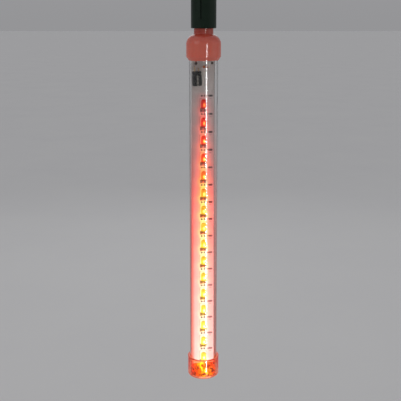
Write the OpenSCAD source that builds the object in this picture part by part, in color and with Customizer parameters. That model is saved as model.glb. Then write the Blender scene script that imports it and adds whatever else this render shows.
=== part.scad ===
// Falling-light tube lamp on a screw base, with the cord-mounted lampholder that it hangs from.
// Origin: on the lamp's axis, at the top edge of the holder's barrel, where a clip seats.
// +Z is up and the populated front of the circuit board faces -Y. Units are millimetres.

/* [Lampholder] */
// Outer diameter of the barrel
holder_d = 22; // [22:0.1:24]
// Length of the barrel from its top edge to its mouth
holder_l = 32; // [32:0.5:38]
// Bore of the mouth, which the lamp's neck seal runs in
mouth_bore_d = 18.2; // [18.2:0.02:18.3]
// Thickness of the web between the lamp chamber and the cord channel
web_t = 8; // [8:0.1:8.4]
// Width of the moulding slot down the barrel
slot_w = 1.5; // [1:0.1:2]
// Length of the moulding slot
slot_l = 24; // [18:0.5:26]
// Direction of the moulding slot, turned from -Y towards -X
slot_azimuth = 22.5; // [0:0.5:45]

/* [Cord head] */
// Length of the head, along the cord
head_l = 16; // [15:0.1:16]
// Width of the channel that the flat cord lies in
channel_w = 7.6; // [7.6:0.1:8]
// Height of the channel from its floor to the cover
channel_h = 4.6; // [4.4:0.1:4.8]
// Thickness of the cover's top plate
cover_t = 1.9; // [1.5:0.1:2.5]
// Distance from the axis to the outside of the cover's side
cover_half_w = 7.2; // [7.1:0.05:7.4]

/* [Screw base] */
// Rise of the screw thread in one turn
pitch = 2.822; // [2.8:0.001:2.85]
// Turns of thread that hold the lamp
turns = 4; // [4:1:4]
// Largest diameter over the lamp's thread
lamp_major_d = 16.64; // [16.5:0.01:16.66]
// Smallest diameter of the lamp's thread
lamp_minor_d = 15.27; // [15.2:0.01:15.3]
// Largest diameter of the holder's thread
holder_major_d = 17.0; // [17:0.01:17.1]
// Smallest diameter of the holder's thread
holder_minor_d = 15.5; // [15.5:0.01:15.6]

/* [Lamp cap] */
// Diameter of the neck
neck_d = 17; // [17:0.05:17.2]
// Length of neck that shows below the mouth of the holder
neck_shown = 5; // [4:0.1:8]
// Diameter of the cap
cap_d = 30.5; // [30:0.1:33]
// Height of the cap from the neck's root to its lower edge
cap_h = 22.1; // [21:0.1:26]
// Height of the rounded shoulder
shoulder_h = 8.5; // [7:0.1:9]
// Height of the chamfer at the lower edge
chamfer_h = 3.6; // [2:0.1:4]

/* [Tube] */
// Outer diameter of the clear tube
tube_d = 25.4; // [25:0.1:25.5]
// Wall of the clear tube
tube_wall = 1; // [0.8:0.1:1.1]
// Outer diameter of the clear end cap
end_cap_d = 29.5; // [28:0.1:31]
// Height of the clear end cap
end_cap_h = 19.1; // [18:0.1:22]
// Number of teeth on the end cap's inner ring
end_teeth = 12; // [8:1:14]

/* [Board] */
// Number of light-emitting diodes on each side of the board
led_count = 16; // [4:1:20]
// Distance between them
led_pitch = 16.11; // [15.5:0.01:18]
// Diameter of a diode's lens
led_d = 5; // [4.8:0.1:5]
// Length of a diode's lens, flange included
led_l = 8.6; // [8:0.1:8.7]
// Width of the board
board_w = 21.3; // [20:0.1:21.6]
// Thickness of the board
board_t = 1.6; // [1.2:0.1:1.6]
// Distance from the lamp's axis back to the middle of the board
board_setback = 2.3; // [2:0.1:2.4]
// Distance from the cap's lower edge down to the first diode's lead holes
first_led = 43.6; // [43:0.1:50]

/* [Hidden] */
$fn = 96;
eps = 0.01;

// Fits
run_gap = 0.05;             // between two faces that run on each other
glue_gap = 0.02;            // between two fixed pieces

// Levels along the axis
mouth_z = -holder_l;
neck_root_z = mouth_z - neck_shown;
cap_bottom_z = neck_root_z - cap_h;
neck_top_z = mouth_z + 5;
thread_low_z = neck_top_z + 1.5;
thread_high_z = thread_low_z + turns * pitch;
collar_top_z = thread_high_z + 1.3;
insulator_top_z = collar_top_z + 2.1;
tip_top_z = insulator_top_z + 1.3;
pocket_roof_z = cap_bottom_z + 13.6;
tube_top_z = pocket_roof_z - 0.5;
first_led_z = cap_bottom_z - first_led;
last_led_z = first_led_z - (led_count - 1) * led_pitch;
board_top_z = tube_top_z - 1.5;
board_bottom_z = last_led_z - 3.2;
end_floor_z = board_bottom_z - 8.2;
end_bottom_z = end_floor_z - 2;
tube_bottom_z = end_floor_z + 0.2;
tube_id = tube_d - 2 * tube_wall;

// Lampholder
holder_r = holder_d / 2;
shell_seat_r = 9;
shell_seat_z = mouth_z + 5.3;
slot_depth = 1.2;
channel_floor_z = 1.5;
head_top_z = channel_floor_z + channel_h - 0.1;
cover_bottom_z = 0.3;
flange_in = cover_half_w - 1.2;
rail_z = 1.6;               // underside of the groove that the cover's lip runs in
rail_h = 1.3;
rail_depth = 0.9;
pin_x = 3;
pin_y = 1.9;
pin_r = 1;

// Seal groove in the neck
seal_r = 0.65;
groove_r = 7.7;
seal_ring_r = groove_r + run_gap + seal_r;
seal_z = mouth_z + 2;
groove_h = 1.6;

// Thread mesh
sides = 36;
steps_per_turn = 6;
fade_l = pitch / 2;
shell_inner_r = 7.25;
spigot_r = 7.2;
spigot_top_z = neck_top_z + 10;
wire_bore_r = 5.5;

// Board
front_y = board_setback - board_t / 2;
back_y = board_setback + board_t / 2;
led_z = [for (k = [0 : led_count - 1]) first_led_z - k * led_pitch];
rear_rise = 0.75 * led_pitch;   // a rear diode's leads sit this far above the front one's
lead_gap = 2.54;
lead_t = 0.5;
lead_drop = 1;                  // from a lens's flange to the bend in its leads
flange_r = 2.9;
flange_h = 1;
led_y = front_y - flange_r - glue_gap;
rear_led_y = back_y + flange_r + glue_gap;
resistor_x = 6.85;
resistor = [3.2, 0.55, 1.6];
end_l = 0.5;                    // length of a chip resistor's metal end

// Parts at the top of the board
can_r = 4.15;
can_l = 12.4;
can_x = -6.3;
can_z = first_led_z + 27.8;     // middle of the can
can_tilt = -3;
can_pins = 1.75;
can_lead_r = 0.3;
can_lead_x = [for (side = [-1, 1]) can_x + side * can_pins + 7.6 * sin(can_tilt)];
can_lead_z = [can_z + 10.2, can_z + 8.6];
diode_x = 1.8;
diode_z = first_led_z + 37.3;
diode_r = 1.2;
diode_l = 4.4;
diode_span = 3.9;
film_size = [10, 4.8, 11];
film_z = first_led_z + 35.2;
film_span = 3.75;
rectifier = [4.7, 2.5, 3.9];
rectifier_z = first_led_z + 25.2;
chip = [3.9, 1.5, 4.9];
chip_z = first_led_z + 17.2;
fuse_z = first_led_z + 47;
fuse_r = 1.25;
fuse_l = 6.4;
fuse_span = 5.2;
thin_lead_r = 0.25;
clipped = 0.25;                 // how far a clipped lead stands off the board
film_lift = 0.4;                // gap under the film capacitor, over the clipped leads
body_lift = 0.2;                // gap under a moulded body that stands on gull-wing leads
wire_r = 0.6;
live_pad = [-6.6, front_y - wire_r - glue_gap, cap_bottom_z - 2];
neutral_pad = [8.2, front_y - wire_r - glue_gap, cap_bottom_z - 1.8];

// Holes for the round leads, across the board and along it
through_holes = [for (i = [0, 1]) [can_lead_x[i], can_lead_z[i]],
    for (side = [-1, 1]) each [[diode_x + side * diode_span, diode_z], [side * film_span, film_z],
        [side * fuse_span, fuse_z]]];

// Routes of the two lead wires, as round corner points
live_route = [live_pad, [live_pad.x, live_pad.y, board_top_z - 0.7],
    [live_pad.x, live_pad.y, board_top_z + 0.5], [-3.2, -1, pocket_roof_z + 7],
    [-1.5, -0.5, neck_top_z + 3], [0, 0, neck_top_z + 10], [0, 0, collar_top_z - 1.2]];
neutral_route = [neutral_pad, [neutral_pad.x, neutral_pad.y, board_top_z - 0.7],
    [neutral_pad.x, neutral_pad.y, board_top_z + 0.5],
    [3.6, 0.6, pocket_roof_z + 7], [2.6, 1, neck_top_z + 4], [3, 1, spigot_top_z - 1],
    [5.2, 1, spigot_top_z + 1.6], [6.5, 1, spigot_top_z + 1.7]];

// ---- helpers ----

function arc(centre, r, from, to, n = 12) =
    [for (i = [0 : n]) let (a = from + (to - from) * i / n) centre + r * [cos(a), sin(a)]];

function unit(v) = v / norm(v);

// Cuts the corners of a path twice as often as it has corners, keeping its ends.
function rounded(p) =
    [p[0], for (i = [0 : len(p) - 2]) each [p[i] * 0.75 + p[i + 1] * 0.25,
        p[i] * 0.25 + p[i + 1] * 0.75], p[len(p) - 1]];

function direction(p, i) = unit(p[min(i + 1, len(p) - 1)] - p[max(i - 1, 0)]);

// A ring of points round the axis, with a radius for each of its corners.
function axis_ring(z, radii) =
    [for (j = [0 : sides - 1]) [radii[j] * cos(j * 360 / sides), radii[j] * sin(j * 360 / sides), z]];

function plain_ring(z, r) = axis_ring(z, [for (j = [0 : sides - 1]) r]);

// Rolled right-hand thread: from root to crest and back once a turn, fading out at both ends.
// phase is 1 for an outer thread and -1 for the inner thread that it runs in.
function thread_fade(z) =
    max(0, min(1, min(z - thread_low_z, thread_high_z - z) / fade_l));
function thread_ring(z, root_r, crest_r, phase) =
    axis_ring(z, [for (j = [0 : sides - 1]) root_r + (crest_r - root_r) * thread_fade(z)
        * (1 + phase * cos(360 * (z - thread_low_z) / pitch - j * 360 / sides)) / 2]);
function thread_levels() =
    [for (i = [0 : turns * steps_per_turn]) thread_low_z + i * pitch / steps_per_turn];

// Closed skin over rings that each have n points. A loop joins its last ring to its first,
// and a rod is closed by its end rings.
module ring_skin(rings, n, loop) {
    count = len(rings);
    last = loop ? count - 1 : count - 2;
    skin = [for (i = [0 : last]) for (j = [0 : n - 1])
        let (a = i * n + j, b = i * n + (j + 1) % n,
            c = ((i + 1) % count) * n + j, d = ((i + 1) % count) * n + (j + 1) % n)
        each [[a, c, d], [a, d, b]]];
    ends = loop ? [] : [[for (j = [0 : n - 1]) j], [for (j = [n - 1 : -1 : 0]) (count - 1) * n + j]];
    polyhedron(points = [for (r = rings) each r], faces = concat(skin, ends));
}

// Round wire of radius r along a path that never runs along Y.
module wire(path, r, n = 8) {
    rings = [for (i = [0 : len(path) - 1])
        let (t = direction(path, i), side = unit(cross(t, [0, 1, 0])), up = cross(side, t))
        [for (j = [0 : n - 1]) path[i] + r * (cos(j * 360 / n) * side + sin(j * 360 / n) * up)]];
    ring_skin(rings, n, false);
}

// Round rod along X, Y or Z, from a point.
module rod(from, axis, l, r) {
    translate(from)
        rotate(axis == "x" ? [0, 90, 0] : axis == "y" ? [-90, 0, 0] : [0, 0, 0])
            cylinder(r = r, h = l, $fn = 24);
}

// ---- lampholder ----

module holder_body() {
    color("#0d1c12")
        difference() {
            union() {
                rotate_extrude()
                    polygon([[0, mouth_z], [holder_r - 0.6, mouth_z], [holder_r, mouth_z + 0.6],
                        [holder_r, 0], [0, 0]]);
                translate([-head_l / 2, -flange_in + 0.1, -eps])
                    cube([head_l, 2 * flange_in - 0.2, head_top_z + eps]);
            }
            translate([0, 0, mouth_z - 1])
                cylinder(d = mouth_bore_d, h = shell_seat_z - mouth_z + 1);
            translate([0, 0, mouth_z - eps])
                cylinder(r1 = mouth_bore_d / 2 + 0.6, r2 = mouth_bore_d / 2, h = 0.6);
            translate([0, 0, shell_seat_z - eps])
                cylinder(r = shell_seat_r, h = -web_t - shell_seat_z + eps);
            rotate([0, 0, -slot_azimuth])
                translate([-slot_w / 2, -holder_r - 1, -slot_l])
                    cube([slot_w, 1 + slot_depth, slot_l + 1]);
            translate([-head_l / 2 - 1, -channel_w / 2, channel_floor_z])
                cube([head_l + 2, channel_w, channel_h]);
            for (side = [-1, 1])
                translate([-head_l / 2 - 1, side * (flange_in - 0.1 - rail_depth / 2) - rail_depth / 2,
                    rail_z])
                    cube([head_l + 2, rail_depth, rail_h]);
            for (side = [-1, 1])
                rod([side * pin_x, side * pin_y, -web_t - 1], "z", web_t + 4, pin_r);
        }
}

module holder_screw_shell() {
    outer_r = shell_seat_r - glue_gap;
    levels = thread_levels();
    top_z = thread_high_z + 0.6;
    low_z = shell_seat_z + glue_gap;
    color("#c9a24a")
        ring_skin(concat([plain_ring(low_z, outer_r), plain_ring(top_z, outer_r),
                plain_ring(top_z, holder_major_d / 2)],
            [for (i = [len(levels) - 1 : -1 : 0])
                thread_ring(levels[i], holder_major_d / 2, holder_minor_d / 2, -1)],
            [plain_ring(low_z, holder_major_d / 2)]), sides, true);
}

// Spring leaf under the web. Its middle rests on the lamp's tip contact.
module centre_contact_leaf() {
    leaf_t = 0.4;
    roof = -web_t - glue_gap;
    low = tip_top_z + run_gap;
    color("#c9a24a")
        difference() {
            translate([0, 1, 0])
                rotate([90, 0, 0])
                    linear_extrude(4.2)
                        polygon([[-5.2, roof], [-1.8, roof], [-1, low + leaf_t], [1, low + leaf_t],
                            [2.1, roof - 0.5], [2.4, roof - 0.8], [1.2, low], [-1.2, low],
                            [-2, roof - leaf_t], [-5.2, roof - leaf_t]]);
            rod([-pin_x, -pin_y, -web_t - 1], "z", 2, 0.62);
        }
}

// Piercing pin: a spike in the cord channel on a shank through the web, headed over below.
module piercing_pin(x, y, lower_z, shank_r) {
    translate([x, y, 0]) {
        translate([0, 0, channel_floor_z + 1])
            cylinder(r1 = pin_r - 0.1, r2 = 0.15, h = 2.2, $fn = 24);
        rod([0, 0, -web_t], "z", web_t + channel_floor_z + 1, pin_r - glue_gap);
        rod([0, 0, lower_z], "z", -web_t - lower_z, shank_r);
    }
}

module centre_piercing_pin() {
    color("#b88a3c") {
        piercing_pin(-pin_x, -pin_y, -web_t - 0.9, 0.6);
        rod([-pin_x, -pin_y, -web_t - 0.9], "z", 0.44, 0.95);
    }
}

module shell_piercing_pin() {
    strap_w = 3;
    strap_t = 0.5;
    reach = 8.75;
    start = norm([pin_x, pin_y]);
    color("#b88a3c") {
        piercing_pin(pin_x, pin_y, -web_t - glue_gap, 0.6);
        rotate([0, 0, atan2(pin_y, pin_x)]) {
            translate([start - 1, -strap_w / 2, -web_t - glue_gap - strap_t])
                cube([reach - start + 1, strap_w, strap_t]);
            translate([reach - strap_t, -strap_w / 2, thread_high_z + 0.6 + glue_gap])
                cube([strap_t, strap_w, -web_t - glue_gap - thread_high_z - 0.6 - glue_gap]);
        }
    }
}

// Cover that slides along the cord over the head. Its lips run in the head's grooves.
module cord_cover() {
    plate_z = head_top_z + 0.1;
    lip_h = rail_h - 0.2;
    color("#0d1c12")
        difference() {
            translate([-head_l / 2, -cover_half_w, cover_bottom_z])
                cube([head_l, 2 * cover_half_w, plate_z + cover_t - cover_bottom_z]);
            translate([-head_l / 2 - 1, -flange_in, cover_bottom_z - 1])
                cube([head_l + 2, 2 * flange_in, plate_z - cover_bottom_z + 1]);
            for (x = [-2 : 2])
                translate([x * 2.4 - 0.5, -5, plate_z + cover_t - 0.4])
                    cube([1, 10, 1]);
            for (side = [-1, 1])
                translate([-head_l / 2 - 1, side * cover_half_w, plate_z + cover_t])
                    rotate([45, 0, 0])
                        translate([0, -0.5, -0.5])
                            cube([head_l + 2, 1, 1]);
        }
    color("#0d1c12")
        for (side = [-1, 1])
            translate([-head_l / 2, side * (flange_in - 0.4 + eps) - 0.4, rail_z + 0.1])
                cube([head_l, 0.8, lip_h]);
}

// ---- screw base ----

module neck_seal() {
    color("#1b1b1b")
        translate([0, 0, seal_z])
            rotate_extrude()
                translate([seal_ring_r, 0])
                    circle(r = seal_r, $fn = 24);
}

module base_shell() {
    root_r = lamp_minor_d / 2;
    color("#c8ccd0")
        ring_skin(concat([plain_ring(neck_top_z + glue_gap, 8.2), plain_ring(neck_top_z + 0.9, 8.2)],
            [for (z = thread_levels()) thread_ring(z, root_r, lamp_major_d / 2, 1)],
            [plain_ring(collar_top_z - 0.4, 6.6), plain_ring(collar_top_z, 5.6),
                plain_ring(collar_top_z - 0.25, 5.05), plain_ring(collar_top_z - 1, 6.6),
                plain_ring(thread_high_z - 0.6, shell_inner_r),
                plain_ring(neck_top_z + glue_gap, shell_inner_r)]), sides, true);
}

module base_insulator() {
    hole_r = 1.1;
    color("#141414")
        rotate_extrude()
            polygon([[hole_r, collar_top_z - 1.6], [4.8, collar_top_z - 1.6], [4.8, collar_top_z + glue_gap],
                [5.5, collar_top_z + glue_gap], [3.4, insulator_top_z], [hole_r, insulator_top_z]]);
}

module tip_contact() {
    shank_r = 1.05;
    dome_r = 2.8;
    dome_h = tip_top_z - insulator_top_z;
    color("#d5d6d8")
        rotate_extrude()
            polygon(concat([[0, collar_top_z - 1.1], [shank_r, collar_top_z - 1.1],
                    [shank_r, insulator_top_z + glue_gap]],
                [for (i = [0 : 8]) let (a = i * 90 / 8)
                    [0.6 + (dome_r - 0.6) * cos(a), insulator_top_z + glue_gap
                        + (dome_h - glue_gap) * sin(a)]],
                [[0, tip_top_z]]));
}

// ---- lamp housing ----

module lamp_cap() {
    neck_r = neck_d / 2;
    cap_r = cap_d / 2;
    spread = cap_r - neck_r;
    shoulder_r = (spread * spread + shoulder_h * shoulder_h) / (2 * spread);
    shoulder_start = 180 - 2 * atan2(shoulder_h, spread);   // its turn from the cap's side
    lip_r = tube_d / 2 + 0.4;
    pocket_r = tube_d / 2 + run_gap;
    color("#e2806f")
        rotate_extrude()
            polygon(concat([[wire_bore_r, spigot_top_z], [spigot_r, spigot_top_z], [spigot_r, neck_top_z],
                    [neck_r - 0.4, neck_top_z], [neck_r, neck_top_z - 0.4],
                    [neck_r, seal_z + groove_h / 2], [groove_r, seal_z + groove_h / 2],
                    [groove_r, seal_z - groove_h / 2], [neck_r, seal_z - groove_h / 2],
                    [neck_r, neck_root_z + 0.8], [neck_r + 0.25, neck_root_z + 0.2]],
                arc([cap_r - shoulder_r, neck_root_z - shoulder_h], shoulder_r,
                    shoulder_start - 5, 0, 16),
                arc([cap_r - 1.5, cap_bottom_z + chamfer_h], 1.5, 0, -45, 5),
                [[lip_r, cap_bottom_z], [pocket_r, cap_bottom_z], [pocket_r, pocket_roof_z],
                    [11, pocket_roof_z], [11, pocket_roof_z + 2], [wire_bore_r, neck_root_z - 1]]));
}

// Bead that bonds the end of the tube to the roof of the cap's pocket.
module tube_glue_ring() {
    color("#e8e4d8")
        translate([0, 0, tube_top_z + glue_gap])
            difference() {
                cylinder(d = tube_d, h = pocket_roof_z - tube_top_z - 2 * glue_gap);
                translate([0, 0, -1])
                    cylinder(d = tube_id, h = 3);
            }
}

// Plug of hot glue that steadies the top of the board in the tube.
module board_glue() {
    glue_h = 4;
    color("#ece6d2")
        difference() {
            translate([0, 0, board_top_z - glue_h - 1])
                cylinder(d = tube_id - 2 * run_gap, h = glue_h);
            translate([-board_w / 2 - glue_gap, front_y - glue_gap, board_top_z - glue_h - 2])
                cube([board_w + 2 * glue_gap, board_t + 2 * glue_gap, glue_h + 3]);
            for (pad = [live_pad, neutral_pad])
                rod([pad.x, pad.y, board_top_z - glue_h - 2], "z", glue_h + 3, wire_r + 0.15);
        }
}

module tube() {
    color("white", 0.25)
        difference() {
            translate([0, 0, tube_bottom_z])
                cylinder(d = tube_d, h = tube_top_z - tube_bottom_z);
            translate([0, 0, tube_bottom_z - 1])
                cylinder(d = tube_id, h = tube_top_z - tube_bottom_z + 2);
        }
}

// Clear cup over the end of the tube, with a toothed ring inside that the board stands on.
module end_cap() {
    r = end_cap_d / 2;
    edge_r = 2;
    ring_out = tube_id / 2 - 0.2;
    ring_in = ring_out - 2.1;
    ring_top = board_bottom_z - glue_gap;
    tooth_h = 3.2;
    color("white", 0.3)
        difference() {
            union() {
                rotate_extrude()
                    polygon(concat([[0, end_bottom_z], [r - edge_r, end_bottom_z]],
                        arc([r - edge_r, end_bottom_z + edge_r], edge_r, -75, 0, 5),
                        [[r, end_bottom_z + end_cap_h - 0.5], [r - 0.5, end_bottom_z + end_cap_h],
                            [tube_d / 2 + run_gap, end_bottom_z + end_cap_h],
                            [tube_d / 2 + run_gap, end_floor_z], [0, end_floor_z]]));
                translate([0, 0, end_floor_z - eps])
                    difference() {
                        cylinder(r = ring_out, h = ring_top - end_floor_z + eps);
                        translate([0, 0, -1])
                            cylinder(r = ring_in, h = ring_top - end_floor_z + 3);
                    }
            }
            for (i = [0 : end_teeth - 1])
                rotate([0, 0, (i + 0.5) * 360 / end_teeth])
                    translate([ring_in - 1, -1.3, ring_top - tooth_h])
                        cube([4.2, 2.6, tooth_h + 1]);
        }
}

// ---- circuit board ----

// Lead holes of one diode, or the places of its solder, at a level of the board.
function pair_holes(z) = [for (side = [-1, 1]) [side * lead_gap / 2, z]];

function all_pairs(rise) = [for (z = led_z) each pair_holes(z + rise)];

module circuit_board() {
    color("#f1efe9")
        translate([0, back_y, 0])
            rotate([90, 0, 0])
                linear_extrude(board_t)
                    difference() {
                        translate([-board_w / 2, board_bottom_z])
                            square([board_w, board_top_z - board_bottom_z]);
                        for (p = concat(all_pairs(0), all_pairs(rear_rise)))
                            translate(p)
                                square(lead_t + 2 * run_gap, center = true);
                        for (p = through_holes)
                            translate(p)
                                circle(r = can_lead_r + 0.1, $fn = 24);
                    }
}

// Lens of a diode that lies along Z, its flange at z = 0 and its dome towards +Z.
module led_lens() {
    dome_r = led_d / 2;
    rotate_extrude($fn = 48)
        polygon(concat([[0, 0], [flange_r, 0], [flange_r, flange_h], [dome_r, flange_h]],
            arc([0, led_l - dome_r], dome_r, 0, 90, 10)));
}

module front_leds() {
    color("#e02818")
        for (z = led_z)
            translate([0, led_y, z + lead_drop])
                led_lens();
}

module rear_leds() {
    color("#e02818")
        for (z = led_z)
            translate([0, rear_led_y, z + rear_rise - lead_drop])
                mirror([0, 0, 1])
                    led_lens();
}

// Pair of leads bent at the given level. They run from the lens's axis through the board.
module lead_pair(z, from_y, through_y, lens) {
    low_y = min(from_y, through_y) - (from_y < through_y ? lead_t / 2 : 0);
    l = abs(through_y - from_y) + lead_t / 2;
    for (side = [-1, 1])
        translate([side * lead_gap / 2 - lead_t / 2, 0, z]) {
            translate([0, low_y, -lead_t / 2])
                cube([lead_t, l, lead_t]);
            translate([0, from_y - lead_t / 2, lens > 0 ? -lead_t / 2 : -lead_drop + glue_gap])
                cube([lead_t, lead_t, lead_drop + lead_t / 2 - glue_gap]);
        }
}

module front_led_leads() {
    color("#b9bcc0")
        for (z = led_z)
            lead_pair(z, led_y, back_y + 0.9, 1);
}

module rear_led_leads() {
    color("#b9bcc0")
        for (z = led_z)
            lead_pair(z + rear_rise, rear_led_y, front_y - 0.9, -1);
}

// Solder cone round a lead, standing off the board along the direction of side.
module solder_cone(x, z, face_y, side) {
    cone_h = 0.6;
    translate([x, face_y + side * glue_gap, z])
        rotate([side > 0 ? -90 : 90, 0, 0])
            difference() {
                cylinder(r1 = 0.85, r2 = 0.45, h = cone_h, $fn = 24);
                translate([0, 0, cone_h / 2])
                    cube([lead_t + glue_gap, lead_t + glue_gap, 2 * cone_h], center = true);
            }
}

module front_solder() {
    color("#c6c8cb")
        for (p = all_pairs(rear_rise))
            solder_cone(p.x, p.y, front_y, -1);
}

module rear_solder() {
    color("#c6c8cb")
        for (p = all_pairs(0))
            solder_cone(p.x, p.y, back_y, 1);
}

module led_resistors() {
    body_l = resistor.x - 2 * end_l;
    color("#191919")
        for (z = led_z)
            translate([resistor_x - body_l / 2, front_y - glue_gap - resistor.y, z + rear_rise
                - resistor.z / 2])
                cube([body_l, resistor.y, resistor.z]);
}

module resistor_ends() {
    color("#c6c8cb")
        for (z = led_z, side = [-1, 1])
            translate([resistor_x + side * (resistor.x - end_l) / 2 - end_l / 2 + side * glue_gap,
                front_y - glue_gap - resistor.y, z + rear_rise - resistor.z / 2])
                cube([end_l - glue_gap, resistor.y, resistor.z]);
}

// ---- power parts at the top of the board ----

module at_can() {
    translate([can_x, front_y - can_r - 0.1, can_z])
        rotate([0, can_tilt, 0])
            children();
}

module capacitor_can() {
    half = can_l / 2;
    color("#101010")
        at_can()
            rotate_extrude($fn = 64)
                polygon(concat([[0, -half], [can_r - 0.8, -half]],
                    arc([can_r - 0.8, -half + 0.8], 0.8, -75, 0, 5),
                    [[can_r, half - 3.2], [can_r - 0.45, half - 2.8], [can_r - 0.45, half - 2.2],
                        [can_r, half - 1.8], [can_r, half - 0.5], [can_r - 0.5, half],
                        [can_r - 0.9, half], [can_r - 0.9, half - 0.8], [0, half - 0.8]]));
}

module capacitor_bung() {
    half = can_l / 2;
    color("#2a2624")
        at_can()
            difference() {
                translate([0, 0, half - 0.8 + glue_gap])
                    cylinder(r = can_r - 0.9 - glue_gap, h = 0.7, $fn = 48);
                for (side = [-1, 1])
                    rod([side * can_pins, 0, half - 1], "z", 2, can_lead_r + glue_gap);
            }
}

// Each lead leaves the bung upwards and turns back through the board.
module capacitor_leads() {
    half = can_l / 2;
    axis_y = front_y - can_r - 0.1;
    bend_r = can_lead_r;
    color("#b9bcc0")
        for (i = [0, 1]) {
            x = can_lead_x[i];
            foot = [can_x + (i * 2 - 1) * can_pins + (half - 0.8) * sin(can_tilt), axis_y,
                can_z + half - 0.75];
            bend = [x, axis_y, can_lead_z[i]];
            hull() {
                translate(foot)
                    cylinder(r = bend_r, h = 0.1, $fn = 16);
                translate(bend)
                    sphere(r = bend_r, $fn = 16);
            }
            rod(bend, "y", back_y + clipped - axis_y, bend_r);
        }
}

module glass_diode() {
    color("#d8603a")
        translate([diode_x, front_y - diode_r - 0.15, diode_z])
            rotate([0, 90, 0])
                rotate_extrude($fn = 32)
                    polygon(concat([[0, -diode_l / 2]],
                        arc([diode_r - 0.5, -diode_l / 2 + 0.5], 0.5, -90, 0, 5),
                        arc([diode_r - 0.5, diode_l / 2 - 0.5], 0.5, 0, 90, 5), [[0, diode_l / 2]]));
}

// Two leads along X from a body's ends, each turned through the board by its span.
module axial_leads(x, y, z, half_body, span, to_y, r) {
    for (side = [-1, 1]) {
        start = side > 0 ? x + half_body + glue_gap : x - span;
        rod([start, y, z], "x", span - half_body - glue_gap, r);
        translate([x + side * span, y, z])
            sphere(r = r, $fn = 24);
        rod([x + side * span, min(y, to_y), z], "y", abs(to_y - y), r);
    }
}

module diode_leads() {
    color("#b9bcc0")
        axial_leads(diode_x, front_y - diode_r - 0.15, diode_z, diode_l / 2, diode_span,
            back_y + clipped, thin_lead_r);
}

module film_capacitor() {
    edge = 0.6;
    color("#a03a24")
        translate([0, back_y + film_lift + film_size.y, film_z])
            rotate([90, 0, 0])
                linear_extrude(film_size.y)
                    offset(r = edge, $fn = 24)
                        square([film_size.x - 2 * edge, film_size.z - 2 * edge], center = true);
}

module film_capacitor_leads() {
    color("#b9bcc0")
        for (side = [-1, 1])
            rod([side * film_span, front_y - clipped, film_z], "y",
                board_t + clipped + film_lift - glue_gap, thin_lead_r);
}

// Moulded body lying on the back of the board, with a draft on its four sides.
module moulded_body(size, z, lift) {
    translate([0, back_y + lift, z])
        rotate([-90, 0, 0])
            hull() {
                translate([0, 0, size.y / 2])
                    cube([size.x, size.z, 0.1], center = true);
                translate([0, 0, 0.05])
                    cube([size.x - 0.5, size.z - 0.5, 0.1], center = true);
                translate([0, 0, size.y - 0.05])
                    cube([size.x - 0.5, size.z - 0.5, 0.1], center = true);
            }
}

// Gull-wing lead beside a moulded body: a foot on the board and a shoulder into the body.
module gull_lead(x, z, side, w, lift) {
    translate([x, back_y + glue_gap, z - w / 2])
        linear_extrude(w)
            polygon([for (p = [[0.02, lift], [0.6, lift], [0.8, 0], [1.7, 0], [1.7, 0.2], [0.95, 0.2],
                [0.75, lift + 0.2], [0.02, lift + 0.2]]) [side * p.x, p.y]]);
}

module bridge_rectifier() {
    color("#161616")
        moulded_body(rectifier, rectifier_z, body_lift);
}

module rectifier_leads() {
    color("#c6c8cb")
        for (side = [-1, 1], row = [-1, 1])
            gull_lead(side * rectifier.x / 2, rectifier_z + row * 1.27, side, 0.6,
                body_lift + rectifier.y / 2 - 0.1);
}

module controller_chip() {
    color("#161616")
        moulded_body(chip, chip_z, body_lift);
}

module chip_leads() {
    color("#c6c8cb")
        for (side = [-1, 1], row = [-1.5 : 1.5])
            gull_lead(side * chip.x / 2, chip_z + row * 1.27, side, 0.4,
                body_lift + chip.y / 2 - 0.1);
}

module fuse_resistor() {
    waist_r = fuse_r - 0.25;
    half = fuse_l / 2;
    color("#7fa9a0")
        translate([0, back_y + fuse_r + 0.2, fuse_z])
            rotate([0, 90, 0])
                rotate_extrude($fn = 48)
                    polygon([[0, -half], [fuse_r - 0.4, -half], [fuse_r, -half + 0.4],
                        [fuse_r, -half + 1.3], [waist_r, -half + 1.7], [waist_r, half - 1.7],
                        [fuse_r, half - 1.3], [fuse_r, half - 0.4], [fuse_r - 0.4, half], [0, half]]);
}

module fuse_leads() {
    color("#b9bcc0")
        axial_leads(0, back_y + fuse_r + 0.2, fuse_z, fuse_l / 2, fuse_span, front_y - clipped,
            thin_lead_r);
}

// ---- wiring inside the lamp ----

module live_wire() {
    color("#a3201c")
        wire(rounded(rounded(live_route)), wire_r);
}

module neutral_wire() {
    color("#e9e6dd")
        wire(rounded(rounded(neutral_route)), wire_r);
}

// Solder that bonds each wire's bared end to its pad.
module wire_solder() {
    pad_h = 0.25;
    color("#c6c8cb")
        for (pad = [live_pad, neutral_pad])
            translate([pad.x, front_y - glue_gap, pad.z - 1.35])
                rotate([90, 0, 0])
                    cylinder(r1 = 1.3, r2 = 0.5, h = wire_r + pad_h, $fn = 32);
}

holder_body();
holder_screw_shell();
centre_contact_leaf();
centre_piercing_pin();
shell_piercing_pin();
cord_cover();
neck_seal();
lamp_cap();
base_shell();
base_insulator();
tip_contact();
tube_glue_ring();
board_glue();
tube();
end_cap();
circuit_board();
front_leds();
front_led_leads();
rear_leds();
rear_led_leads();
front_solder();
rear_solder();
led_resistors();
resistor_ends();
capacitor_can();
capacitor_bung();
capacitor_leads();
glass_diode();
diode_leads();
film_capacitor();
film_capacitor_leads();
bridge_rectifier();
rectifier_leads();
controller_chip();
chip_leads();
fuse_resistor();
fuse_leads();
live_wire();
neutral_wire();
wire_solder();
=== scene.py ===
"""Looks of the falling-light tube lamp in its cord lampholder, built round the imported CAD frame."""
import math

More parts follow.
